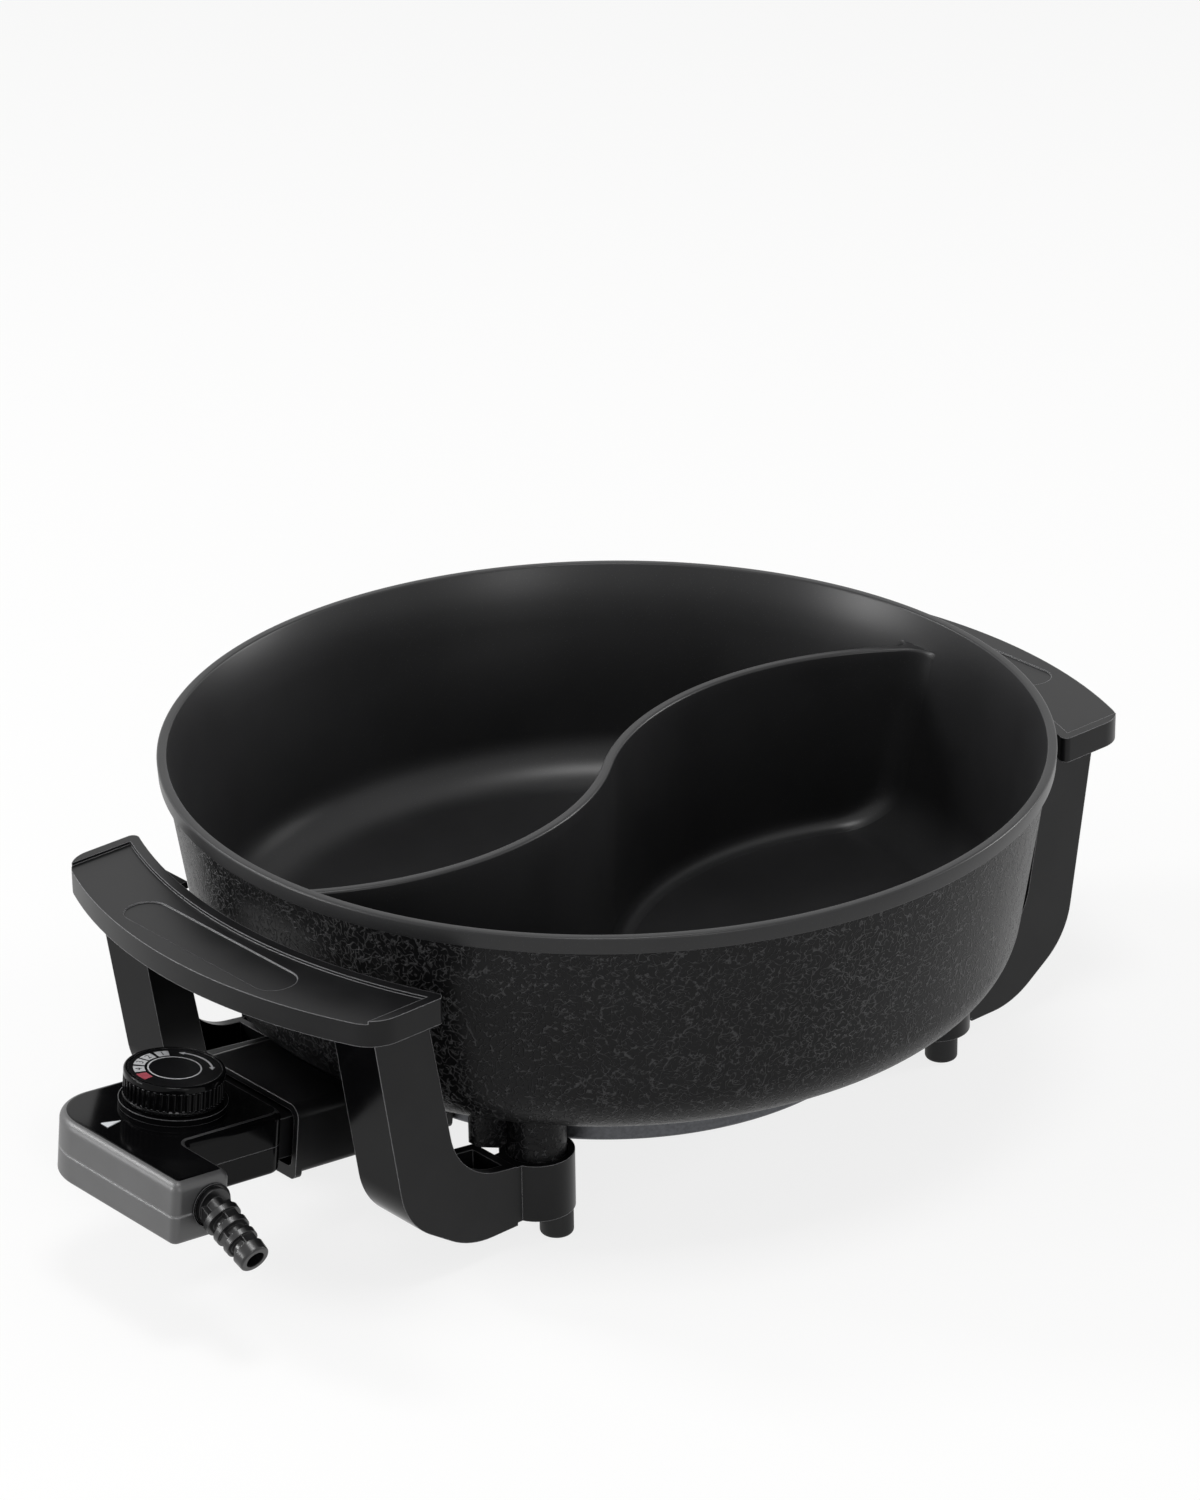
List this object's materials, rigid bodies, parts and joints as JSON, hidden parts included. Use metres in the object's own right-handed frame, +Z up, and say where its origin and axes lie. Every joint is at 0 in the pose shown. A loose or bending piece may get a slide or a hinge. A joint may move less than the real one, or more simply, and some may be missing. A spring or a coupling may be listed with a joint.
{
  "type": "electric hot pot with plug-in thermostat",
  "caption": "Round electric hot pot with an S-shaped divider, two moulded side handles that carry the feet, and a plug-in thermostat with a control knob.",
  "frame": {"origin": "on the pan's vertical axis, on the surface that the feet stand on", "axes": "+Z up out of the pan, +X from the controller's handle to the far handle, +Y to the left when the controller's side is the front"},
  "size_m": [0.463, 0.3398, 0.142],
  "materials": {
    "pan_coating": "satin non-stick coating inside, leather-grain baked coating outside",
    "black_phenolic": "semi-gloss moulded phenolic",
    "gloss_black": "polished black",
    "soft_black": "soft black PVC",
    "foot_rubber": "matt black rubber",
    "cover_sheet": "satin aluminised sheet",
    "plated_steel": "zinc plated",
    "element_sheath": "dull stainless sheath",
    "brass": "bright",
    "ceramic": "glazed ceramic",
    "dial_print": "black with silver print",
    "pointer_white": "white"
  },
  "bodies": {
    "pot": {"pot_body": "pan_coating", "heating_element": "element_sheath", "bottom_cover": "cover_sheet", "cover_screws": "plated_steel", "near_handle": "black_phenolic", "far_handle": "black_phenolic", "handle_screws": "plated_steel", "rubber_feet": "foot_rubber", "terminal_shroud": "black_phenolic", "shroud_screws": "plated_steel", "terminal_pins": "plated_steel", "terminal_insulators": "ceramic"},
    "controller": {"upper_housing": "gloss_black", "lower_housing": "gloss_black", "housing_screws": "plated_steel", "knob_ring": "gloss_black", "spindle_bush": "brass", "bush_nut": "plated_steel", "pointer_mark": "pointer_white", "probe_tube": "element_sheath", "socket_carrier": "black_phenolic", "socket_contacts": "brass", "thermostat_bracket": "plated_steel", "bimetal_arm": "plated_steel", "contact_arm": "brass", "cord_clamp": "black_phenolic", "clamp_screws": "plated_steel", "strain_relief": "soft_black"},
    "knob": {"knob": "gloss_black", "dial_plate": "dial_print", "knob_spindle": "plated_steel"}
  },
  "joints": [
    {"name": "controller_slide", "type": "slide", "parent": "pot", "child": "controller", "axis": [-0.994, 0, 0.1094], "range_m": [0, 0.084]},
    {"name": "knob_turn", "type": "hinge", "parent": "controller", "child": "knob", "pos_m": [-0.2097, 0, 0.0767], "axis": [0.1094, 0, 0.994], "range_deg": [0, 270]}
  ]
}
